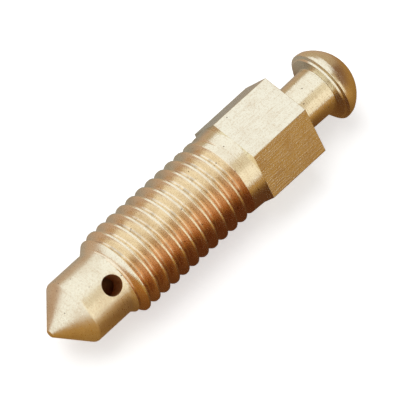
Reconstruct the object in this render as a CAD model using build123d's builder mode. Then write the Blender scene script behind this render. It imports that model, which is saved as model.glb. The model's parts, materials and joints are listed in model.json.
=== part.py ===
from build123d import *
import math
import os

# A bleeder screw, turned in one piece from hexagon brass bar.
# Its axis lies along X, with the seat cone at the -X end and the hose nipple at the +X end.
# The origin is on the axis, in the plane where the collar meets the hexagon.
# The screw lies on one flat of the hexagon, and +Z is up.
# Lengths are in millimetres and angles in degrees.

# Thread, M7 x 1 right-hand
thread_size = 7.0  # nominal diameter
pitch = 1.0
crest_cut = 0.2  # how much smaller the turned blank is than the nominal diameter
flank_angle = 30  # between a flank and a plane square to the axis
pitch_line_share = 0.6495  # nominal less pitch diameter, in pitches
root_share = 1.2269  # nominal less root diameter, in pitches
thread_len = 10.87  # from the shoulder's top to the collar
runout_gap = 1.5  # from the hexagon to where the groove starts to fade
runout_start = 202  # where the groove starts to fade, turned from the top towards -Y
runout_turns = 0.46  # the part of a turn that the groove takes to fade
runout_clearance = 0.05  # how far above the crests the groove's root ends

# Seat cone, nose and shoulder
seat_angle = 45  # between the cone's side and the axis
tip_d = 0.6  # the cone's blunt end
nose_d = 5.38
nose_len = 3.4
shoulder_len = 0.85

# Collar and hexagon
collar_len = 1.55
collar_d = 6.66  # at the thread
collar_end_d = 7.0  # at the hexagon, so wide that the flats run out along it
across_flats = 6.85
hex_sides = 6
hex_len = 5.45
bar_clearance = 0.1  # how far the round blank reaches past the hexagon's corners

# Hose nipple
neck_len = 3.4
neck_d = 3.76
head_d = 5.84
underside_len = 0.4  # the head's conical underside
rim_len = 0.34
dome_len = 1.93

# Passages
bore_d = 2.0
port_d = 1.6
port_setback = 0.79  # from the shoulder's foot to the port's axis
port_turn = 32.5  # from straight up towards -Y
bore_overrun = 0.9  # how far the bore goes past the port's axis before its pointed end
drill_angle = 59  # between the point's side and the axis
mouth_chamfer = 0.15

# Radii
thread_r = (thread_size - crest_cut) / 2
pitch_line_r = (thread_size - pitch_line_share * pitch) / 2
root_r = (thread_size - root_share * pitch) / 2
nose_r = nose_d / 2
tip_r = tip_d / 2
collar_r = collar_d / 2
collar_end_r = collar_end_d / 2
bar_r = across_flats / 2 / math.cos(math.pi / hex_sides) + bar_clearance
neck_r = neck_d / 2
head_r = head_d / 2
bore_r = bore_d / 2
port_r = port_d / 2

# Places along the axis
collar_x = -collar_len
shoulder_top_x = collar_x - thread_len
shoulder_foot_x = shoulder_top_x - shoulder_len
nose_x = shoulder_foot_x - nose_len
tip_x = nose_x - (nose_r - tip_r) / math.tan(math.radians(seat_angle))
neck_end_x = hex_len + neck_len
rim_x = neck_end_x + underside_len
dome_x = rim_x + rim_len
head_end_x = dome_x + dome_len
port_x = shoulder_foot_x - port_setback
bore_end_x = port_x - bore_overrun
drill_tip_x = bore_end_x - bore_r / math.tan(math.radians(drill_angle))
runout_x = -runout_gap
full_turns = math.ceil((runout_x - shoulder_foot_x) / pitch)


def groove_width(radius):
    """Half the groove's width at a radius: it is a quarter of the pitch at the pitch line."""
    return pitch / 4 + (radius - pitch_line_r) * math.tan(math.radians(flank_angle))


def groove_cutter(turns, lift):
    """The groove's section carried along a right-hand helix from the origin, lifting on its way.

    It reaches out as far as the round blank, so it clears the collar as well as the crests.
    """
    length = pitch * turns
    cone = math.atan2(lift, length)
    height = bar_r - root_r
    root_half = groove_width(root_r)
    top_half = groove_width(bar_r)
    with BuildPart() as cutter:
        with BuildLine() as path:
            Helix(
                pitch / math.cos(cone), length, root_r, direction=(1, 0, 0), cone_angle=math.degrees(cone)
            )
        start = path.line @ 0
        with BuildSketch(Plane(start, x_dir=(1, 0, 0), z_dir=Vector(1, 0, 0).cross(start))):
            with BuildLine():
                Polyline(
                    (-root_half, 0), (root_half, 0), (top_half, height), (-top_half, height), close=True
                )
            make_face()
        sweep(path=path.line, is_frenet=True)
    return cutter.part


# The groove runs in from the air over the nose, and lifts out of the metal beside the collar.
one_turn = groove_cutter(1, 0)
fading_turn = groove_cutter(runout_turns, thread_r + runout_clearance - root_r)
groove_end = Location((runout_x, 0, 0), (runout_start, 0, 0))
turn_starts = [Location((-pitch * (turn + 1), 0, 0)) * groove_end for turn in range(full_turns)]

port_turn_rad = math.radians(port_turn)
port_plane = Plane(
    (port_x, 0, 0), x_dir=(1, 0, 0), z_dir=(0, -math.sin(port_turn_rad), math.cos(port_turn_rad))
)

with BuildPart() as bleeder_screw:
    # Turned outline
    with BuildSketch(Plane.XZ):
        with BuildLine():
            Polyline(
                (tip_x, 0),
                (tip_x, tip_r),
                (nose_x, nose_r),
                (shoulder_foot_x, nose_r),
                (shoulder_top_x, thread_r),
                (collar_x, thread_r),
                (collar_x, collar_r),
                (0, collar_end_r),
                (0, bar_r),
                (hex_len, bar_r),
                (hex_len, neck_r),
                (neck_end_x, neck_r),
                (rim_x, head_r),
                (dome_x, head_r),
            )
            TangentArc((head_end_x, 0), (dome_x, head_r), tangent=(0, 1))
            Line((head_end_x, 0), (tip_x, 0))
        make_face()
    revolve(axis=Axis.X)

    # Hexagon, which also trims the collar's wide end
    with BuildSketch(Plane.YZ.offset(tip_x)):
        RegularPolygon(across_flats / 2, hex_sides, major_radius=False)
    extrude(amount=head_end_x - tip_x, mode=Mode.INTERSECT)

    # Thread groove
    with Locations(*turn_starts):
        add(one_turn, mode=Mode.SUBTRACT)
    with Locations(groove_end):
        add(fading_turn, mode=Mode.SUBTRACT)

    # Bore from the nipple's end, with the drill's pointed end
    with BuildSketch(Plane.XZ):
        with BuildLine():
            Polyline(
                (drill_tip_x, 0), (bore_end_x, bore_r), (head_end_x, bore_r), (head_end_x, 0), close=True
            )
        make_face()
    revolve(axis=Axis.X, mode=Mode.SUBTRACT)
    mouth = bleeder_screw.edges().filter_by(GeomType.CIRCLE).sort_by(Axis.X)[-1]
    chamfer(mouth, mouth_chamfer)

    # Port through the nose's wall
    with BuildSketch(port_plane):
        Circle(port_r)
    extrude(amount=thread_r, mode=Mode.SUBTRACT)

bleeder_screw.part.label = "bleeder_screw"
os.makedirs("parts", exist_ok=True)
export_step(bleeder_screw.part, "parts/bleeder_screw.step")
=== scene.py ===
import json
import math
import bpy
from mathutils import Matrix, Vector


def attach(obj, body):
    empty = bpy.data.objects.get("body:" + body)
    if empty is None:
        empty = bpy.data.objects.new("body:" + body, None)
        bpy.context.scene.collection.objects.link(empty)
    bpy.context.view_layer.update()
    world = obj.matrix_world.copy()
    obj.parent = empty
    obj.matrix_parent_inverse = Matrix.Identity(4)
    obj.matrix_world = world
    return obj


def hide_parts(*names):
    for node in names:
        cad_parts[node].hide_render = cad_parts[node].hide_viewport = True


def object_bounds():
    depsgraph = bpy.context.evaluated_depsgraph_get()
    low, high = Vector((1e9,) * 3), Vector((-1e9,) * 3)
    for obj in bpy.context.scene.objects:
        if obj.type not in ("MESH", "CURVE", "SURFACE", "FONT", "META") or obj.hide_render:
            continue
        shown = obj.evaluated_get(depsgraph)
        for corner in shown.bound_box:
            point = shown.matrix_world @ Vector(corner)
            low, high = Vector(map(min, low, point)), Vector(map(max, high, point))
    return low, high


bl_info = {
    "name": "Bleeder Screw",
    "version": (1, 0, 0),
    "blender": (4, 5, 0),
    "location": "View3D > Sidebar > Bleeder Screw",
    "description": "Models a brass bleeder screw in its packed frame and sets a small studio around it",
    "category": "Object",
}

from types import SimpleNamespace

import bmesh
import bpy
from mathutils import Matrix, Quaternion, Vector

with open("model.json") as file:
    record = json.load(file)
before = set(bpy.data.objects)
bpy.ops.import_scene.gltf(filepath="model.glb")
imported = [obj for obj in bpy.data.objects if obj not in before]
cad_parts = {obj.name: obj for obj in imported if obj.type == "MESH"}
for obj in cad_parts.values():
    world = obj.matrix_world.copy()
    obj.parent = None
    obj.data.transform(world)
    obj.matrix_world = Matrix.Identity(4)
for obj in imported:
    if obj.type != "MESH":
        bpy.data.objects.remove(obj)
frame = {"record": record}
cad_low, cad_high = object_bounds()

# The screw's axis lies along X, with its seat cone at the -X end and its hose nipple at the +X end.
# Shapes are modelled in millimetres, which suits bevels and booleans, and brought to metres at the end.
MM = 0.001
NODE = "bleeder_screw"
MOUNTS = {mount["name"]: mount for mount in frame["record"]["mounts"]}

# How far cutting solids and blanks reach past the metal that stays, and how far the groove's solid does
CLEAR = 1
GROOVE_CLEAR = 0.12

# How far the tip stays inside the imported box, so that rounding can't carry it out
HAIR = 0.0001

# Vertices closer than the first distance are merged, and those of the helix closer than the second
SEAM = 1e-5
HELIX_SEAM = 1e-4

# Steps in one turn of the lathe's forms, of the drilled holes and of the helix, and along the dome's arc
LATHE_STEPS = 240
DRILL_STEPS = 96
HELIX_STEPS = 120
DOME_STEPS = 24

# Edges sharper than this angle stay crisp, and drawn faces of this many square metres and more stay flat.
SHARP_ANGLE = math.radians(28)
SMALLEST_FLAT = 1e-6

# The finishes, in the order of the piece's material slots
TURNED, DRAWN, THREADED, DRILLED = range(4)


def mount_size(name, size):
    """A size of one of the record's mounts, in millimetres."""
    return MOUNTS[name]["dims"][size]


def mount_place(name, axis):
    """Where one of the record's mounts lies along an axis, in millimetres."""
    return MOUNTS[name]["pos_m"]["XYZ".index(axis)] / MM


def length(name, description, millimetres):
    """A length that the user can change, kept in metres."""
    return bpy.props.FloatProperty(
        name=name, description=description, default=millimetres * MM, min=0, unit="LENGTH", precision=5
    )


def position(name, description, millimetres):
    """A place that the user can change, kept in metres."""
    metres = [part * MM for part in millimetres]
    return bpy.props.FloatVectorProperty(
        name=name, description=description, default=metres, size=3, subtype="TRANSLATION", unit="LENGTH"
    )


def angle(name, description, degrees):
    """An angle that the user can change, kept in radians."""
    return bpy.props.FloatProperty(
        name=name, description=description, default=math.radians(degrees), unit="ROTATION"
    )


def colour(name, description, value):
    """A linear colour that the user can change."""
    return bpy.props.FloatVectorProperty(
        name=name, description=description, default=value, min=0, max=1, size=3, subtype="COLOR"
    )


def share(name, description, value):
    """A number from 0 to 1 that the user can change."""
    return bpy.props.FloatProperty(
        name=name, description=description, default=value, min=0, max=1, subtype="FACTOR"
    )


def power(name, description, watts):
    """A lamp's power that the user can change, in watts."""
    return bpy.props.FloatProperty(name=name, description=description, default=watts, min=0, unit="POWER")


def in_mm(group):
    """The group's values under their own names, its lengths in millimetres."""
    values = SimpleNamespace()
    for prop in group.bl_rna.properties:
        if prop.type == "FLOAT":
            unit = MM if prop.unit == "LENGTH" else 1
            setattr(values, prop.identifier, getattr(group, prop.identifier) / unit)
    return values


class ScrewBody(bpy.types.PropertyGroup):
    """Sizes of the turned body and the hexagon"""

    tip_radius: length("Tip radius", "Radius of the cone's blunt end", 0.3)
    tip_rounding: length("Tip rounding", "Radius round the cone's blunt end", 0.12)
    nose_radius: length("Nose radius", "Radius behind the seat cone", mount_size("seat_cone", "r_mm"))
    nose_length: length("Nose length", "From the seat cone to the shoulder", 3.4)
    nose_rounding: length("Nose rounding", "Radius between the seat cone and the nose", 0.3)
    nose_fillet: length("Nose fillet", "Radius of the hollow between nose and shoulder", 0.5)
    shoulder_length: length("Shoulder length", "Length of the slope up to the thread", 0.85)
    collar_length: length("Collar length", "From the thread to the hexagon", 1.55)
    collar_radius: length("Collar radius", "Radius of the collar beside the thread", 3.33)
    collar_end_radius: length("Collar end radius", "Radius of the collar where it meets the hexagon", 3.41)
    hexagon_length: length("Hexagon length", "Length of the flats", 2 * mount_place("upper_flat", "X"))
    across_flats: length("Across flats", "Width of the hexagon", 2 * mount_place("upper_flat", "Z"))
    edge_rounding: length("Edge rounding", "Width of the small roundings on the edges", 0.04)


class ScrewThread(bpy.types.PropertyGroup):
    """Sizes of the right-hand thread"""

    nominal_radius: length("Nominal radius", "Half the nominal diameter", mount_size("thread", "r_mm"))
    pitch: length("Pitch", "From one crest to the next", 1.0)
    crest_radius: length("Crest radius", "Radius of the turned blank between the grooves", 3.4)
    pitch_line_drop: length("Pitch line drop", "From the nominal radius in to the pitch line", 0.4)
    thread_length: length("Length", "From the shoulder to the collar", mount_size("thread", "length_mm"))
    root_rounding: length("Root rounding", "Radius of the groove's rounded bottom", 0.19)
    edge_depth: length("Edge depth", "Depth of the flatter edge between a crest and its flanks", 0.015)
    crest_rounding: length("Crest rounding", "Radius between that edge and the flank", 0.06)
    runout_gap: length("Run-out gap", "From the hexagon to where the groove starts to fade", 1.5)
    runout_start: angle("Run-out start", "Where the groove starts to fade, from the top towards -Y", 202)
    runout_sweep: angle("Run-out sweep", "How far the groove goes round while it fades", 166)
    flank_angle: angle("Flank angle", "Between a flank and a plane square to the axis", 30)
    edge_angle: angle("Edge angle", "Between the edge beside a crest and the axis", 30)


class ScrewNipple(bpy.types.PropertyGroup):
    """Sizes of the hose nipple"""

    neck_length: length("Neck length", "From the hexagon to the head", 3.4)
    neck_radius: length("Neck radius", "Radius of the neck beside the hexagon", 1.83)
    neck_growth: length("Neck growth", "How much the neck's radius grows towards the head", 0.07)
    neck_fillet: length("Neck fillet", "Radius of the hollow between neck and head", 0.08)
    step_radius: length("Step radius", "Radius where the step in the head's underside starts", 2.6)
    step_growth: length("Step growth", "How much the step's radius grows towards the rim", 0.09)
    step_start: length("Step start", "From the neck's end to the step", 0.08)
    step_length: length("Step length", "Length of the step", 0.13)
    step_rounding: length("Step rounding", "Radius at both ends of the step", 0.024)
    underside_length: length("Underside length", "Length of the head's whole underside", 0.31)
    head_radius: length("Head radius", "Radius of the head's rim", mount_size("hose_nipple", "r_mm"))
    rim_length: length("Rim length", "Length of the rim before it starts to slope", 0.24)
    rim_rounding: length("Rim rounding", "Radius between the rim and the underside", 0.05)
    dome_drop: length("Dome drop", "How far the head gets narrower before the dome starts", 0.07)
    dome_rounding: length("Dome rounding", "Radius between the rim's slope and the dome", 0.5)
    dome_length: length("Dome length", "From the head's widest place to the top of the dome", 1.93)


class ScrewPassages(bpy.types.PropertyGroup):
    """Sizes of the bore and the cross port"""

    bore_radius: length("Bore radius", "Radius of the bore", mount_size("outlet_bore", "r_mm"))
    bore_overrun: length("Bore overrun", "How far the bore goes past the port before its point", 0.9)
    mouth_chamfer: length("Mouth chamfer", "Width of the chamfer at the bore's mouth", 0.15)
    port_radius: length("Port radius", "Radius of the cross port", 0.8)
    port_setback: length("Port setback", "From the shoulder's foot to the port's axis", 0.79)
    port_turn: angle("Port turn", "Where the port comes out, from the top towards -Y", 32.5)
    drill_angle: angle("Drill angle", "Between the bore's pointed end and its axis", 59)


class BrassFinish(bpy.types.PropertyGroup):
    """Colours, tarnish, roughness and tool marks of the brass"""

    turned_colour: colour("Turned brass", "Colour of the turned surfaces", (0.92, 0.87, 0.7))
    drawn_colour: colour("Drawn brass", "Colour of the hexagon's drawn flats", (0.9, 0.86, 0.71))
    thread_colour: colour("Thread brass", "Colour of the cut thread", (0.96, 0.86, 0.67))
    # Painted shade: the browner colour that the thread is given on its lower front side
    thread_shade: colour("Thread shade", "Painted shade on the thread's lower front", (0.86, 0.59, 0.38))
    # Painted shade: the bore and the port get a darker, redder brass for the shade inside the holes
    drilled_shaded_colour: colour("Drilled brass, shaded", "Colour inside the bore and the port", (0.62, 0.29, 0.1))
    tarnish_colour: colour("Tarnish", "Colour of the faint brown tarnish", (0.52, 0.33, 0.15))
    pit_colour: colour("Pits", "Colour of the pits and of the grime in the thread", (0.14, 0.08, 0.045))
    patches: share("Patches", "How much tarnish lies in broad patches", 0.22)
    grain: share("Grain", "How much tarnish lies in the fine grain", 0.26)
    lathe_streaks: share("Lathe streaks", "How much tarnish lies in the lathe's rings", 0.12)
    drawing_streaks: share("Drawing streaks", "How much tarnish lies in the drawing marks", 0.25)
    root_grime: share("Root grime", "How strong the grime along the thread's root is", 0.3)
    turned_roughness: share("Turned roughness", "Roughness of the turned surfaces", 0.22)
    nose_dulling: share("Nose dulling", "How much rougher the cone and the nose are than the head", 0.1)
    drawn_roughness: share("Drawn roughness", "Roughness of the hexagon's flats", 0.22)
    thread_roughness: share("Thread roughness", "Roughness of the cut thread", 0.25)
    drilled_roughness: share("Drilled roughness", "Roughness inside the holes", 0.6)
    lathe_depth: length("Lathe mark depth", "Height of the lathe's rings", 0.0065)
    drawing_depth: length("Drawing mark depth", "Height of the drawing marks", 0.014)


class StudioStage(bpy.types.PropertyGroup):
    """Camera, floor and light"""

    azimuth: angle("Azimuth", "Camera's direction round the screw, from -Y towards +X", -44.31)
    elevation: angle("Elevation", "Camera's height above the horizon", 58.73)
    roll: angle("Roll", "Camera's turn about its own line of sight", -2.54)
    distance: length("Distance", "From the camera to the screw", 400)
    frame_width: length("Frame width", "Width of the picture at the screw", 28.76)
    aim_back: length("Aim back", "From the hexagon back along the axis to the picture's middle", 3.59)
    aim_drop: length("Aim drop", "How far the picture's middle lies below the axis", 0.20)
    floor_colour: colour("Floor colour", "Colour of the pale floor", (0.8, 0.8, 0.8))
    floor_reach: length("Floor reach", "Radius of the floor", 1500)
    floor_lift: share("Floor lift", "How much of its own light the floor shows where it is seen", 0.5)
    ambient: share("Ambient", "Strength of the light from all round", 0.5)
    lamp_power: power("Lamp power", "Power of the soft lamp", 1.2)
    lamp_width: length("Lamp width", "Width of the soft lamp", 400)
    lamp_place: position("Lamp place", "Middle of the soft lamp", (-50, 150, 450))
    card_reach: length("Card reach", "Radius of the dished card that the metal mirrors", 300)
    card_flat: length("Card flat", "Radius of the dished card's flat middle", 12)
    card_lift: length("Card lift", "How far the dished card lies above the floor", 0.05)
    card_front: angle("Card front", "Height of the card's rim towards -Y, above the horizon", 4)
    card_tip: angle("Card tip side", "Height of the card's rim towards -X", 3)
    card_back: angle("Card back", "Height of the card's rim towards +Y", 19)
    card_head: angle("Card head side", "Height of the card's rim towards +X", 42)
    # Painted shadow: the card is darker beside the screw, like a floor in its shade; in front it is also
    # dark brown
    front_near_shaded: colour("Front near, shaded", "Colour of the card beside the screw, in front", (0.1, 0.035, 0.012))
    front_far: colour("Front far", "Colour of the card further in front", (0.44, 0.235, 0.055))
    back_near_shaded: colour("Back near, shaded", "Colour of the card beside the screw, behind", (0.33, 0.31, 0.27))
    back_far: colour("Back far", "Colour of the card further behind", (0.52, 0.35, 0.24))
    head_front: colour("Head side, front", "Colour of the card towards +X, in front", (0.22, 0.11, 0.055))
    head_back: colour("Head side, back", "Colour of the card towards +X, behind", (0.5, 0.37, 0.23))
    strip_colour: colour("Strip colour", "Colour of the narrow strip above the front", (0.82, 0.72, 0.55))
    strip_dark: colour("Strip dark", "Colour of the strip's end towards the head", (0.38, 0.25, 0.12))
    strip_place: position("Strip place", "Middle of the strip", (200, -133, 245))
    strip_length: length("Strip length", "Length of the strip along the screw", 500)
    strip_width: length("Strip width", "Width of the strip", 150)
    front_light: colour("Front light", "Colour of the large card that lights the front", (1.0, 0.9, 0.74))
    front_place: position("Front place", "Middle of the large front card", (100, -750, 500))
    front_length: length("Front length", "Length of the large front card along the screw", 2400)
    front_width: length("Front width", "Width of the large front card", 900)


def outline(bm, points):
    """An open outline in the plane of the axis and +Z, from points along the axis and away from it."""
    verts = [bm.verts.new((along, 0, away)) for along, away in points]
    for first, second in zip(verts, verts[1:]):
        bm.edges.new((first, second))
    return verts


def verts_of(geometry):
    """The vertices among the elements that an operator returns."""
    return [item for item in geometry if isinstance(item, bmesh.types.BMVert)]


def round_corner(bm, vert, radius, segments):
    """Rounds the corner of an outline to a radius."""
    first, second = [(edge.other_vert(vert).co - vert.co).normalized() for edge in vert.link_edges]
    reach = radius / math.tan(first.angle(second) / 2)
    bmesh.ops.bevel(
        bm, geom=[vert], offset=reach, offset_type="OFFSET", segments=segments, profile=0.5,
        affect="VERTICES", material=-1,
    )


def close_up(bm, finish):
    """Merges seams and poles, turns the faces outwards and gives them their finish."""
    bmesh.ops.remove_doubles(bm, verts=bm.verts[:], dist=SEAM)
    bmesh.ops.recalc_face_normals(bm, faces=bm.faces[:])
    for face in bm.faces:
        face.material_index = finish


def turn_round(bm, steps):
    """Turns the whole outline round the axis."""
    bmesh.ops.spin(
        bm, geom=bm.verts[:] + bm.edges[:], cent=(0, 0, 0), axis=(1, 0, 0), dvec=(0, 0, 0),
        angle=2 * math.pi, steps=steps, use_merge=True,
    )


def as_object(bm, name, materials):
    """An object of that mesh, with the materials in its slots."""
    mesh = bpy.data.meshes.new(name)
    bm.to_mesh(mesh)
    bm.free()
    for material in materials:
        mesh.materials.append(material)
    made = bpy.data.objects.new(name, mesh)
    bpy.context.scene.collection.objects.link(made)
    return made


def axis_places(body, thread, nipple, passages):
    """Where each form starts or ends along the axis, in millimetres from the hexagon's tip side."""
    at = SimpleNamespace()
    at.collar = -body.collar_length
    at.shoulder_top = at.collar - thread.thread_length
    at.shoulder_foot = at.shoulder_top - body.shoulder_length
    at.nose = at.shoulder_foot - body.nose_length
    at.tip = cad_low.x / MM + HAIR
    at.neck_end = body.hexagon_length + nipple.neck_length
    at.step = at.neck_end + nipple.step_start
    at.rim = at.neck_end + nipple.underside_length
    at.widest = mount_place("hose_nipple", "X") + mount_size("hose_nipple", "length_mm") / 2
    at.dome_top = at.widest + nipple.dome_length
    at.dome_radius = (nipple.head_radius**2 + nipple.dome_length**2) / (2 * nipple.dome_length)
    at.dome_centre = at.dome_top - at.dome_radius
    at.port = at.shoulder_foot - passages.port_setback
    at.bore_end = at.port - passages.bore_overrun
    return at


def turned_body(at, body, thread, materials):
    """Cone, nose, shank and collar as turned, on the round blank that the hexagon is cut from."""
    blank_radius = body.across_flats / math.sqrt(3) + CLEAR
    blank_end = body.hexagon_length + CLEAR
    bm = bmesh.new()
    verts = outline(
        bm,
        [
            (at.tip, 0),
            (at.tip, body.tip_radius),
            (at.nose, body.nose_radius),
            (at.shoulder_foot, body.nose_radius),
            (at.shoulder_top, thread.crest_radius),
            (at.collar, thread.crest_radius),
            (at.collar, body.collar_radius),
            (0, body.collar_end_radius),
            (0, blank_radius),
            (blank_end, blank_radius),
            (blank_end, 0),
        ],
    )
    tip, nose, shoulder_foot, shoulder_top = verts[1:5]
    round_corner(bm, tip, body.tip_rounding, segments=4)
    round_corner(bm, nose, body.nose_rounding, segments=6)
    round_corner(bm, shoulder_foot, body.nose_fillet, segments=6)
    round_corner(bm, shoulder_top, body.edge_rounding, segments=3)
    turn_round(bm, LATHE_STEPS)
    close_up(bm, TURNED)
    return as_object(bm, "turned_body", materials)


def turned_nipple(at, body, nipple, materials):
    """Neck and domed head, from inside the hexagon."""
    dome_half = math.asin((nipple.head_radius - nipple.dome_drop) / at.dome_radius)
    dome = [
        (at.dome_centre + at.dome_radius * math.cos(turn), at.dome_radius * math.sin(turn))
        for turn in [dome_half * (1 - step / DOME_STEPS) for step in range(DOME_STEPS + 1)]
    ]
    inside_hexagon = body.hexagon_length / 2
    bm = bmesh.new()
    verts = outline(
        bm,
        [
            (inside_hexagon, 0),
            (inside_hexagon, nipple.neck_radius),
            (body.hexagon_length, nipple.neck_radius),
            (at.neck_end, nipple.neck_radius + nipple.neck_growth),
            (at.step, nipple.step_radius),
            (at.step + nipple.step_length, nipple.step_radius + nipple.step_growth),
            (at.rim, nipple.head_radius),
            (at.rim + nipple.rim_length, nipple.head_radius),
            *dome,
        ],
    )
    neck_end, step, step_end, rim, rim_end, dome_foot = verts[3:9]
    round_corner(bm, neck_end, nipple.neck_fillet, segments=4)
    round_corner(bm, step, nipple.step_rounding, segments=3)
    round_corner(bm, step_end, nipple.step_rounding, segments=3)
    round_corner(bm, rim, nipple.rim_rounding, segments=8)
    round_corner(bm, rim_end, nipple.dome_rounding, segments=4)
    round_corner(bm, dome_foot, nipple.dome_rounding, segments=4)
    turn_round(bm, LATHE_STEPS)
    close_up(bm, TURNED)
    return as_object(bm, "turned_nipple", materials)


def hexagon_bar(at, body, materials):
    """The drawn hexagon bar, one flat up, from beyond the tip to the hexagon's end beside the neck."""
    bm = bmesh.new()
    corner_radius = body.across_flats / math.sqrt(3)

    # The circle's first corner lies on the Y axis, so two of the flats come out level.
    square_to_axis = Matrix.Rotation(math.pi / 2, 4, "Y")
    bmesh.ops.create_circle(bm, cap_ends=True, radius=corner_radius, segments=6, matrix=square_to_axis)
    near_end = bm.verts[:]
    far_end = verts_of(bmesh.ops.extrude_face_region(bm, geom=bm.faces[:])["geom"])
    bmesh.ops.translate(bm, vec=(at.tip - CLEAR, 0, 0), verts=near_end)
    bmesh.ops.translate(bm, vec=(body.hexagon_length, 0, 0), verts=far_end)
    bmesh.ops.recalc_face_normals(bm, faces=bm.faces[:])
    bmesh.ops.bevel(
        bm, geom=bm.edges[:], offset=body.edge_rounding, offset_type="OFFSET", segments=3, profile=0.5,
        affect="EDGES", material=-1,
    )
    close_up(bm, DRAWN)
    return as_object(bm, "hexagon_bar", materials)


def groove_sizes(thread):
    """Radii and half widths of the thread's groove, from its open top to where its flanks would meet."""
    slope = math.tan(thread.flank_angle)
    pitch_line_radius = thread.nominal_radius - thread.pitch_line_drop
    groove = SimpleNamespace()
    groove.edge_radius = thread.crest_radius - thread.edge_depth
    groove.edge_half = thread.pitch / 4 + (groove.edge_radius - pitch_line_radius) * slope
    groove.apex_radius = groove.edge_radius - groove.edge_half / slope
    groove.root_radius = groove.apex_radius + thread.root_rounding * (1 / math.sin(thread.flank_angle) - 1)
    groove.top_radius = thread.crest_radius + GROOVE_CLEAR
    groove.top_half = groove.edge_half + (GROOVE_CLEAR + thread.edge_depth) / math.tan(thread.edge_angle)
    return groove


def groove_section(bm, thread, groove):
    """The groove's section as a closed outline, where its run-out starts."""
    verts = outline(
        bm,
        [
            (-groove.top_half, groove.top_radius),
            (-groove.edge_half, groove.edge_radius),
            (0, groove.apex_radius),
            (groove.edge_half, groove.edge_radius),
            (groove.top_half, groove.top_radius),
        ],
    )
    bm.edges.new((verts[-1], verts[0]))
    tipward_edge, root, headward_edge = verts[1:4]
    round_corner(bm, root, thread.root_rounding, segments=8)
    round_corner(bm, tipward_edge, thread.crest_rounding, segments=3)
    round_corner(bm, headward_edge, thread.crest_rounding, segments=3)
    along = Matrix.Translation((-thread.runout_gap, 0, 0))
    round_axis = Matrix.Rotation(thread.runout_start, 4, "X")
    bmesh.ops.transform(bm, matrix=along @ round_axis, verts=bm.verts[:])
    return bm.verts[:] + bm.edges[:]


def full_turns(bm, at, thread, section):
    """Carries the section back over one full turn, and copies that turn on into the air over the nose."""
    bmesh.ops.spin(
        bm, geom=section, cent=(0, 0, 0), axis=(1, 0, 0), dvec=(-thread.pitch / HELIX_STEPS, 0, 0),
        angle=-2 * math.pi, steps=HELIX_STEPS, use_merge=False,
    )
    one_turn = bm.verts[:] + bm.edges[:] + bm.faces[:]
    turns = math.ceil((-thread.runout_gap - at.shoulder_foot) / thread.pitch)
    for turn in range(1, turns):
        copied = bmesh.ops.duplicate(bm, geom=one_turn)["geom"]
        bmesh.ops.translate(bm, vec=(-thread.pitch * turn, 0, 0), verts=verts_of(copied))


def run_out(bm, thread, groove, section):
    """Carries the section on while it fades, one small turn and one small lift at a time."""
    one_step = 2 * math.pi / HELIX_STEPS
    steps = round(thread.runout_sweep / one_step)

    # The root ends just above the crests.
    lift = (thread.crest_radius + GROOVE_CLEAR / 3 - groove.root_radius) / steps
    for step in range(1, steps + 1):
        section = bmesh.ops.spin(
            bm, geom=section, cent=(0, 0, 0), axis=(1, 0, 0), dvec=(thread.pitch / HELIX_STEPS, 0, 0),
            angle=one_step, steps=1, use_merge=False,
        )["geom_last"]
        here = thread.runout_start + one_step * step
        outwards = (0, -lift * math.sin(here), lift * math.cos(here))
        bmesh.ops.translate(bm, vec=outwards, verts=verts_of(section))


def thread_groove(at, thread, groove, materials):
    """The thread's groove as a solid, from the air over the nose to the end of its run-out."""
    bm = bmesh.new()
    section = groove_section(bm, thread, groove)
    full_turns(bm, at, thread, section)
    run_out(bm, thread, groove, section)
    bmesh.ops.remove_doubles(bm, verts=bm.verts[:], dist=HELIX_SEAM)
    bmesh.ops.edgeloop_fill(bm, edges=[edge for edge in bm.edges if edge.is_boundary])
    close_up(bm, THREADED)
    return as_object(bm, "thread_groove", materials)


def bore(at, passages, materials):
    """The drilled bore as a solid, from its pointed end to the chamfer at its mouth."""
    radius, chamfer = passages.bore_radius, passages.mouth_chamfer
    point = at.bore_end - radius / math.tan(passages.drill_angle)
    mouth_edge = at.dome_centre + math.sqrt(at.dome_radius**2 - radius**2)
    chamfer_end = math.asin(radius / at.dome_radius) + chamfer / at.dome_radius
    inner = Vector((mouth_edge - chamfer, radius))
    outer = at.dome_radius * Vector((math.cos(chamfer_end), math.sin(chamfer_end)))
    outer.x += at.dome_centre

    # The chamfer's cone goes on past the dome, to so many times its own width.
    widths = 5
    beyond = inner + (outer - inner) * widths
    bm = bmesh.new()
    outline(bm, [(point, 0), (at.bore_end, radius), inner, beyond, (beyond.x, 0)])
    turn_round(bm, DRILL_STEPS)
    close_up(bm, DRILLED)
    return as_object(bm, "bore", materials)


def port(at, thread, passages, materials):
    """The drilled cross port as a solid, from the bore's axis out through the nose's wall."""
    bm = bmesh.new()
    bmesh.ops.create_circle(bm, cap_ends=True, radius=passages.port_radius, segments=DRILL_STEPS)
    outer_end = verts_of(bmesh.ops.extrude_face_region(bm, geom=bm.faces[:])["geom"])
    bmesh.ops.translate(bm, vec=(0, 0, thread.crest_radius), verts=outer_end)
    along = Matrix.Translation((at.port, 0, 0))
    round_axis = Matrix.Rotation(passages.port_turn, 4, "X")
    bmesh.ops.transform(bm, matrix=along @ round_axis, verts=bm.verts[:])
    close_up(bm, DRILLED)
    return as_object(bm, "port", materials)


def combine(blank, tools):
    """Joins each tool to the blank or cuts it out, and leaves one mesh with the tools gone."""
    for tool, operation in tools:
        modifier = blank.modifiers.new(tool.name, "BOOLEAN")
        modifier.object = tool
        modifier.operation = operation
        modifier.solver = "MANIFOLD"
    evaluated = blank.evaluated_get(bpy.context.evaluated_depsgraph_get())
    mesh = bpy.data.meshes.new_from_object(evaluated)
    blank.modifiers.clear()
    blank.data = mesh
    for tool, _ in tools:
        bpy.data.objects.remove(tool)


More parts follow.
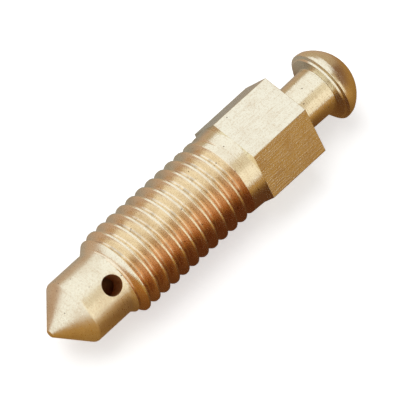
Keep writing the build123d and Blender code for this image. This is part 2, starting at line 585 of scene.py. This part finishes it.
# How the patterns show in the metal, starting with the features that each has in a metre
MARK_SCALE = 9000.0
GRAIN_SCALE = 8000.0
PATCH_SCALE = 600.0
GRIME_SCALE = 1500.0
PIT_SCALE = 2600.0

# How slowly the lathe's rings change round the axis, and the drawing marks along it
RING_CHANGE = 0.02
DRAWING_CHANGE = 0.07

# Stretches of a noise pattern, whose values gather about 0.5
MIDDLE = (0.3, 0.7)
UPPER = (0.45, 0.75)
PEAKS = (0.5, 0.8)
SPOTS = (0.46, 0.62)

# How much the tool marks and the grain change the roughness, and the grain's height beside the marks'
MARK_POLISH = (-0.03, 0.03)
GRAIN_POLISH = (-0.04, 0.06)
GRAIN_HEIGHT = 0.8

# How strong a pit's colour is, where in its cell it fades out, and the random numbers that a cell needs
# to have one
PIT_STRENGTH = 0.75
PIT_EDGE = (0.1, 0.2)
PITTED_CELLS = (0.9, 0.93)

# Painted shade: the thread turns browner from the top towards this lower front side, over this stretch of
# the turn's cosine.
SHADED_SIDE = (0, -1, -0.6)
SHADED_TURN = (-0.4, 0.5)

# How far the grime reaches up from the thread's root, in metres
GRIME_RISE = 0.000015

# Where the nose's duller finish gives way to the thread's, in metres along the axis
DULL_END = (-0.0135, -0.012)


def rgba(value):
    """A linear colour as a shader's socket takes it."""
    return (*value, 1)


def shader_node(tree, kind, sockets=None, **settings):
    """Adds a shader node. Each of its sockets takes a value or another node's output."""
    made = tree.nodes.new("ShaderNode" + kind)
    for name, value in settings.items():
        setattr(made, name, value)
    for key, value in (sockets or {}).items():
        if isinstance(value, bpy.types.NodeSocket):
            tree.links.new(value, made.inputs[key])
        else:
            made.inputs[key].default_value = value
    return made


def blank_material(name):
    """A material with an empty node tree."""
    material = bpy.data.materials.new(name)
    material.use_nodes = True
    material.node_tree.nodes.clear()
    return material


def object_place(tree):
    """The place on the piece, in Object coordinates."""
    return shader_node(tree, "TexCoord").outputs["Object"]


def parts_of(tree, vector):
    """The X, Y and Z of a vector."""
    outputs = shader_node(tree, "SeparateXYZ", {"Vector": vector}).outputs
    return outputs["X"], outputs["Y"], outputs["Z"]


def vector_from(tree, x, y, z=0.0):
    """A vector from its X, Y and Z."""
    return shader_node(tree, "CombineXYZ", {"X": x, "Y": y, "Z": z}).outputs[0]


def length_of(tree, vector):
    """The length of a vector."""
    return shader_node(tree, "VectorMath", {0: vector}, operation="LENGTH").outputs["Value"]


def maths(tree, operation, first, second=0.0):
    """The output of one Math node."""
    return shader_node(tree, "Math", {0: first, 1: second}, operation=operation).outputs[0]


def noise(tree, vector, scale, detail=2.0):
    """A noise pattern with so many features in a metre."""
    sockets = {"Vector": vector, "Scale": scale, "Detail": detail}
    return shader_node(tree, "TexNoise", sockets).outputs["Fac"]


def remap(tree, value, source, target=(0.0, 1.0)):
    """A value brought from one range to another, smoothly."""
    sockets = {"Value": value}
    sockets["From Min"], sockets["From Max"] = source
    sockets["To Min"], sockets["To Max"] = target
    return shader_node(tree, "MapRange", sockets, interpolation_type="SMOOTHSTEP").outputs[0]


def mix_colour(tree, factor, first, second):
    """Two colours mixed by a factor. Each is plain or another node's output."""
    mix = shader_node(tree, "Mix", {"Factor": factor}, data_type="RGBA")
    for key, value in ((6, first), (7, second)):
        if isinstance(value, bpy.types.NodeSocket):
            tree.links.new(value, mix.inputs[key])
        else:
            mix.inputs[key].default_value = rgba(value)
    return mix.outputs[2]


def painted(tree, value):
    """A plain value, or what a function that takes the node tree makes of it."""
    return value(tree) if callable(value) else value


def lathe_rings(tree, place):
    """The vector that the lathe's marks follow, in rings round the axis."""
    x, y, z = parts_of(tree, place)
    away = length_of(tree, vector_from(tree, 0.0, y, z))
    return vector_from(tree, x, away, maths(tree, "MULTIPLY", z, RING_CHANGE))


def drawing_marks(tree, place):
    """The vector that the marks of drawing follow, along the bar."""
    x, y, z = parts_of(tree, place)
    return vector_from(tree, maths(tree, "MULTIPLY", x, DRAWING_CHANGE), y, z)


def pits(tree, place):
    """Few and tiny pits, from 0 beside them to 1 in them."""
    cells = shader_node(tree, "TexVoronoi", {"Vector": place, "Scale": PIT_SCALE}).outputs
    inside = remap(tree, cells["Distance"], PIT_EDGE, (PIT_STRENGTH, 0.0))
    picked = shader_node(tree, "SeparateColor", {"Color": cells["Color"]}).outputs["Red"]
    return maths(tree, "MULTIPLY", inside, remap(tree, picked, PITTED_CELLS))


def shaded_grimy_thread(finish, root_radius):
    """The thread's colour: painted shade, browner from its top down the front and underside, with grime
    along the root.
    """

    def paint(tree):
        place = object_place(tree)
        _, y, z = parts_of(tree, place)
        across = vector_from(tree, 0.0, y, z)
        outwards = shader_node(tree, "VectorMath", {0: across}, operation="NORMALIZE").outputs["Vector"]
        turned = shader_node(tree, "VectorMath", {0: outwards, 1: SHADED_SIDE}, operation="DOT_PRODUCT")
        # Painted shade: browner towards the lower front, the side that lies in shade
        towards_shade = remap(tree, turned.outputs["Value"], SHADED_TURN)
        browned = mix_colour(tree, towards_shade, finish.thread_colour, finish.thread_shade)
        above_root = (root_radius, root_radius + GRIME_RISE)
        along_root = remap(tree, length_of(tree, across), above_root, (finish.root_grime, 0.0))
        spots = remap(tree, noise(tree, place, GRIME_SCALE, detail=4.0), SPOTS)
        return mix_colour(tree, maths(tree, "MULTIPLY", spots, along_root), browned, finish.pit_colour)

    return paint


def duller_nose(finish):
    """The turned surfaces' roughness, which is higher on the cone and the nose."""

    def paint(tree):
        x, _, _ = parts_of(tree, object_place(tree))
        duller = remap(tree, x, DULL_END, (finish.nose_dulling, 0.0))
        return maths(tree, "ADD", duller, finish.turned_roughness)

    return paint


def brass(name, finish, marks, base, roughness):
    """Brass with tool marks, a fine grain, faint tarnish, a few pits and uneven polish.

    Base and roughness may be plain or painted by a function that takes the node tree.
    """
    material = blank_material(name)
    tree = material.node_tree
    place = object_place(tree)
    fine = noise(tree, marks.follow(tree, place), MARK_SCALE, detail=3.0)
    grain = noise(tree, place, GRAIN_SCALE)
    patches = noise(tree, place, PATCH_SCALE, detail=3.0)

    browned = remap(tree, patches, UPPER, (0.0, finish.patches))
    streaked = remap(tree, fine, PEAKS, (0.0, marks.streaks))
    grained = remap(tree, grain, UPPER, (0.0, finish.grain))
    shaded = maths(tree, "ADD", maths(tree, "ADD", browned, streaked), grained)
    tarnished = mix_colour(tree, shaded, painted(tree, base), finish.tarnish_colour)
    surface = mix_colour(tree, pits(tree, place), tarnished, finish.pit_colour)

    marked = remap(tree, fine, MIDDLE, MARK_POLISH)
    uneven = maths(tree, "ADD", marked, remap(tree, grain, MIDDLE, GRAIN_POLISH))
    polish = maths(tree, "ADD", uneven, painted(tree, roughness))
    height = maths(tree, "ADD", fine, maths(tree, "MULTIPLY", grain, GRAIN_HEIGHT))
    bump = shader_node(tree, "Bump", {"Height": height, "Distance": marks.depth, "Strength": 1.0})
    sockets = {"Base Color": surface, "Metallic": 1.0, "Roughness": polish, "Normal": bump.outputs[0]}
    shader = shader_node(tree, "BsdfPrincipled", sockets)
    shader_node(tree, "OutputMaterial", {"Surface": shader.outputs[0]})
    return material


def screw_materials(finish, root_radius):
    """The screw's materials, in the order of its slots."""
    lathe = SimpleNamespace(follow=lathe_rings, streaks=finish.lathe_streaks, depth=finish.lathe_depth)
    drawing = SimpleNamespace(
        follow=drawing_marks, streaks=finish.drawing_streaks, depth=finish.drawing_depth
    )
    thread_colour = shaded_grimy_thread(finish, root_radius)
    return [
        brass("turned_brass", finish, lathe, finish.turned_colour, duller_nose(finish)),
        brass("drawn_brass", finish, drawing, finish.drawn_colour, finish.drawn_roughness),
        brass("threaded_brass", finish, lathe, thread_colour, finish.thread_roughness),
        # The drilled brass carries painted shade inside the holes
        brass("drilled_brass_shaded", finish, lathe, finish.drilled_shaded_colour, finish.drilled_roughness),
    ]


class MESH_OT_bleeder_screw(bpy.types.Operator):
    """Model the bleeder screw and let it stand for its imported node"""

    bl_idname = "mesh.bleeder_screw"
    bl_label = "Bleeder Screw"

    def execute(self, context):
        scene = context.scene
        body, thread = in_mm(scene.screw_body), in_mm(scene.screw_thread)
        nipple, passages = in_mm(scene.screw_nipple), in_mm(scene.screw_passages)
        at = axis_places(body, thread, nipple, passages)
        groove = groove_sizes(thread)
        materials = screw_materials(scene.brass_finish, groove.root_radius * MM)
        screw = turned_body(at, body, thread, materials)
        combine(
            screw,
            [
                (hexagon_bar(at, body, materials), "INTERSECT"),
                (thread_groove(at, thread, groove, materials), "DIFFERENCE"),
                (turned_nipple(at, body, nipple, materials), "UNION"),
                (bore(at, passages, materials), "DIFFERENCE"),
                (port(at, thread, passages, materials), "DIFFERENCE"),
            ],
        )
        finishes = {polygon.material_index for polygon in screw.data.polygons}
        if len(finishes) < len(materials):
            raise RuntimeError("The screw's solids didn't combine into one with all its finishes")
        screw.name = "bleeder_screw_brass"
        screw.data.name = screw.name
        screw.data.transform(Matrix.Scale(MM, 4))
        screw.data.set_sharp_from_angle(angle=SHARP_ANGLE)
        for polygon in screw.data.polygons:
            polygon.use_smooth = polygon.material_index != DRAWN or polygon.area < SMALLEST_FLAT
        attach(screw, "root")
        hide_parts(NODE)
        return {"FINISHED"}


# Where the dished card's colours change, in metres along the screw's axis and across it. The near colours,
# a painted shadow of the screw, fill an oval about the card's middle, which is so many times shorter along
# the axis than across it.
CARD_MIDDLE = -0.002
CARD_OVAL = 1.3
NEAR_TO_FAR = (0.008, 0.03)
FRONT_TO_BACK = (0.001, 0.007)
HEAD_FRONT_TO_BACK = (0.0, 0.007)

# The head side's colours start over this stretch, and nearer the screw's tip behind it than in front.
TOWARDS_HEAD = (0.011, 0.032)
HEAD_SLANT = 0.3

# Where the strip card darkens, in metres along the axis
STRIP_DARKENS = (0.094, 0.112)

# The dished card's rings, from its flat middle to its rim, and how much sooner than at the rim its slope
# is full: at 1 / CARD_BEND of the way.
CARD_RINGS = 14
CARD_BEND = 1.6

# The rim rises towards the head over a stretch of its direction's X. Towards the back, over a stretch of
# its direction's Y, this share of that rise is lost.
HEAD_RISE = (0.33, 0.67)
BACK_FALL = (0.1, 0.6)
BACK_SHARE = 0.5

# Colour of the light from all round
WHITE = (1, 1, 1, 1)

# The nearest and the furthest that the camera sees, as multiples of its distance from the screw
NEAREST_SEEN = 0.01
FURTHEST_SEEN = 10


def glow(name, paint):
    """A lit card's material, of one colour or of what a function that takes the node tree paints."""
    material = blank_material(name)
    tree = material.node_tree
    emission = shader_node(tree, "Emission", {"Color": painted(tree, paint)})
    shader_node(tree, "OutputMaterial", {"Surface": emission.outputs[0]})
    return material


def card_paint(stage):
    """The dished card's colour: darker beside the screw as a painted shadow, greyer behind it and brown
    towards its head.
    """

    def paint(tree):
        along, across, _ = parts_of(tree, object_place(tree))
        from_middle = maths(tree, "SUBTRACT", along, CARD_MIDDLE)
        away = length_of(tree, vector_from(tree, maths(tree, "MULTIPLY", from_middle, CARD_OVAL), across))
        far = remap(tree, away, NEAR_TO_FAR)
        # Painted shadow beside the screw, fading out to the far colours
        front = mix_colour(tree, far, stage.front_near_shaded, stage.front_far)
        back = mix_colour(tree, far, stage.back_near_shaded, stage.back_far)
        sides = mix_colour(tree, remap(tree, across, FRONT_TO_BACK), front, back)
        head = mix_colour(tree, remap(tree, across, HEAD_FRONT_TO_BACK), stage.head_front, stage.head_back)
        slanted = maths(tree, "ADD", along, maths(tree, "MULTIPLY", across, HEAD_SLANT))
        return mix_colour(tree, remap(tree, slanted, TOWARDS_HEAD), sides, head)

    return paint


def strip_paint(stage):
    """The strip's colour, which darkens towards the screw's head."""

    def paint(tree):
        along, _, _ = parts_of(tree, object_place(tree))
        return mix_colour(tree, remap(tree, along, STRIP_DARKENS), stage.strip_colour, stage.strip_dark)

    return paint


def seen_directly(tree):
    """1 for rays from the camera, from glossy surfaces and through clear ones, and 0 for others."""
    path = shader_node(tree, "LightPath")
    seen = maths(tree, "MAXIMUM", path.outputs["Is Camera Ray"], path.outputs["Is Glossy Ray"])
    return maths(tree, "MAXIMUM", seen, path.outputs["Is Transmission Ray"])


def glossy_card(name, bm, material):
    """A studio card that only reflections see."""
    card = as_object(bm, name, [material])
    card.visible_camera = False
    card.visible_diffuse = False
    card.visible_shadow = False
    card.visible_transmission = False


def part_way(value, start, end):
    """How far a value has come from the start to the end, from 0 to 1."""
    return min(1, max(0, (value - start) / (end - start)))


def rim_height(stage, direction):
    """How high the dished card's rim stands in a direction, as an angle above the horizon."""
    along, across = direction
    height = stage.card_front
    height += (stage.card_tip - stage.card_front) * max(0, -along) ** 2
    height += (stage.card_back - stage.card_front) * max(0, across) ** 3
    headward = part_way(along, *HEAD_RISE)
    smooth = headward**2 * (3 - 2 * headward)
    return height + (stage.card_head - height) * smooth * (1 - BACK_SHARE * part_way(across, *BACK_FALL))


def dished_card(stage):
    """The card that lies under the screw and rises round it like a dish."""
    bm = bmesh.new()
    bmesh.ops.create_circle(bm, cap_ends=True, segments=96, radius=stage.card_flat)
    edges = bm.edges[:]
    for ring in range(1, CARD_RINGS + 1):
        pulled = bmesh.ops.extrude_edge_only(bm, edges=edges)["geom"]
        edges = [item for item in pulled if isinstance(item, bmesh.types.BMEdge)]
        outwards = ring / CARD_RINGS
        reach = stage.card_flat * (stage.card_reach / stage.card_flat) ** outwards
        bend = min(1, CARD_BEND * outwards) ** 2
        for vert in {vert for edge in edges for vert in edge.verts}:
            direction = Vector((vert.co.x, vert.co.y)).normalized()
            vert.co = (*(direction * reach), reach * math.tan(rim_height(stage, direction)) * bend)
        edges = [edge for edge in edges if edge.is_boundary]
    bmesh.ops.translate(bm, vec=(0, 0, cad_low.z + stage.card_lift), verts=bm.verts[:])
    glossy_card("bronze_card", bm, glow("bronze_card", card_paint(stage)))


def flat_card(name, paint, place, size):
    """A flat card that runs along the screw and faces its axis."""
    bm = bmesh.new()

    # The grid's size is half its width, so it starts as one metre each way.
    bmesh.ops.create_grid(bm, x_segments=1, y_segments=1, size=0.5)
    bmesh.ops.scale(bm, vec=(*size, 1), verts=bm.verts[:])
    tilt = math.atan2(-place[1], place[2])
    bmesh.ops.rotate(bm, cent=(0, 0, 0), matrix=Matrix.Rotation(tilt, 3, "X"), verts=bm.verts[:])
    bmesh.ops.translate(bm, vec=place, verts=bm.verts[:])
    glossy_card(name, bm, glow(name, paint))


def set_world(scene, stage):
    """Even light from all round, and plain white where the world is seen directly."""
    world = bpy.data.worlds.new("studio")
    scene.world = world
    world.use_nodes = True
    tree = world.node_tree
    tree.nodes.clear()
    ambient = shader_node(tree, "Background", {"Color": WHITE, "Strength": stage.ambient})
    white = shader_node(tree, "Background", {"Color": WHITE, "Strength": 1.0})
    both = {0: seen_directly(tree), 1: ambient.outputs[0], 2: white.outputs[0]}
    mix = shader_node(tree, "MixShader", both)
    shader_node(tree, "OutputWorld", {"Surface": mix.outputs[0]})


def set_floor(stage):
    """A round pale floor at the screw's lowest point, lifted towards white where it is seen directly."""
    bm = bmesh.new()
    bmesh.ops.create_circle(bm, cap_ends=True, radius=stage.floor_reach, segments=64)
    bmesh.ops.translate(bm, vec=(0, 0, cad_low.z), verts=bm.verts[:])
    material = blank_material("pale_floor")
    tree = material.node_tree
    paint = shader_node(tree, "BsdfDiffuse", {"Color": rgba(stage.floor_colour)})
    lift = maths(tree, "MULTIPLY", seen_directly(tree), stage.floor_lift)
    lifted = shader_node(tree, "Emission", {"Color": WHITE, "Strength": lift})
    both = shader_node(tree, "AddShader", {0: paint.outputs[0], 1: lifted.outputs[0]})
    shader_node(tree, "OutputMaterial", {"Surface": both.outputs[0]})
    as_object(bm, "floor", [material])


def set_cards(stage):
    """The cards that the metal mirrors."""
    dished_card(stage)
    flat_card("strip_card", strip_paint(stage), stage.strip_place, (stage.strip_length, stage.strip_width))
    front_size = (stage.front_length, stage.front_width)
    flat_card("front_card", rgba(stage.front_light), stage.front_place, front_size)


def set_lamp(scene, stage):
    """A square soft lamp over the screw that the metal doesn't mirror."""
    lamp = bpy.data.lights.new("softbox", "AREA")
    lamp.shape = "SQUARE"
    lamp.size = stage.lamp_width
    lamp.energy = stage.lamp_power
    held = bpy.data.objects.new("softbox", lamp)
    held.location = stage.lamp_place
    held.rotation_euler = (-held.location).to_track_quat("-Z", "Y").to_euler()
    held.visible_glossy = False
    scene.collection.objects.link(held)


def set_camera(scene, stage):
    """The camera, which looks down on the screw from beside its tip."""
    lens = bpy.data.cameras.new("camera")
    camera = bpy.data.objects.new("camera", lens)
    scene.collection.objects.link(camera)
    scene.camera = camera
    level = math.cos(stage.elevation)
    back = Vector(
        (math.sin(stage.azimuth) * level, -math.cos(stage.azimuth) * level, math.sin(stage.elevation))
    )
    turn = (-back).to_track_quat("-Z", "Y") @ Quaternion((0, 0, 1), stage.roll)
    drop = turn @ Vector((0, -stage.aim_drop, 0))
    camera.location = Vector((-stage.aim_back, 0, 0)) + drop + back * stage.distance
    camera.rotation_euler = turn.to_euler()
    lens.lens = lens.sensor_width * stage.distance / stage.frame_width
    lens.clip_start = stage.distance * NEAREST_SEEN
    lens.clip_end = stage.distance * FURTHEST_SEEN


class SCENE_OT_bleeder_screw_stage(bpy.types.Operator):
    """Set the floor, the light and the camera round the bleeder screw"""

    bl_idname = "scene.bleeder_screw_stage"
    bl_label = "Studio Stage"

    def execute(self, context):
        scene = context.scene
        stage = scene.studio_stage
        scene.view_settings.view_transform = "Standard"
        set_world(scene, stage)
        set_floor(stage)
        set_cards(stage)
        set_lamp(scene, stage)
        set_camera(scene, stage)
        return {"FINISHED"}


class VIEW3D_PT_bleeder_screw(bpy.types.Panel):
    """The screw's sizes, its finish and its stage"""

    bl_label = "Bleeder Screw"
    bl_space_type = "VIEW_3D"
    bl_region_type = "UI"
    bl_category = "Bleeder Screw"

    def draw(self, context):
        layout = self.layout
        for name in GROUPS:
            group = getattr(context.scene, name)
            box = layout.box()
            for prop in group.bl_rna.properties:
                if not prop.is_readonly and prop.identifier != "name":
                    box.prop(group, prop.identifier)
        layout.operator(MESH_OT_bleeder_screw.bl_idname)
        layout.operator(SCENE_OT_bleeder_screw_stage.bl_idname)


GROUPS = {
    "screw_body": ScrewBody,
    "screw_thread": ScrewThread,
    "screw_nipple": ScrewNipple,
    "screw_passages": ScrewPassages,
    "brass_finish": BrassFinish,
    "studio_stage": StudioStage,
}
CLASSES = (*GROUPS.values(), MESH_OT_bleeder_screw, SCENE_OT_bleeder_screw_stage, VIEW3D_PT_bleeder_screw)


def register():
    for cls in CLASSES:
        bpy.utils.register_class(cls)
    for name, group in GROUPS.items():
        setattr(bpy.types.Scene, name, bpy.props.PointerProperty(type=group))


def unregister():
    for name in GROUPS:
        delattr(bpy.types.Scene, name)
    for cls in reversed(CLASSES):
        bpy.utils.unregister_class(cls)


def main():
    register()
    bpy.ops.mesh.bleeder_screw()
    bpy.ops.scene.bleeder_screw_stage()


if __name__ == "__main__":
    main()
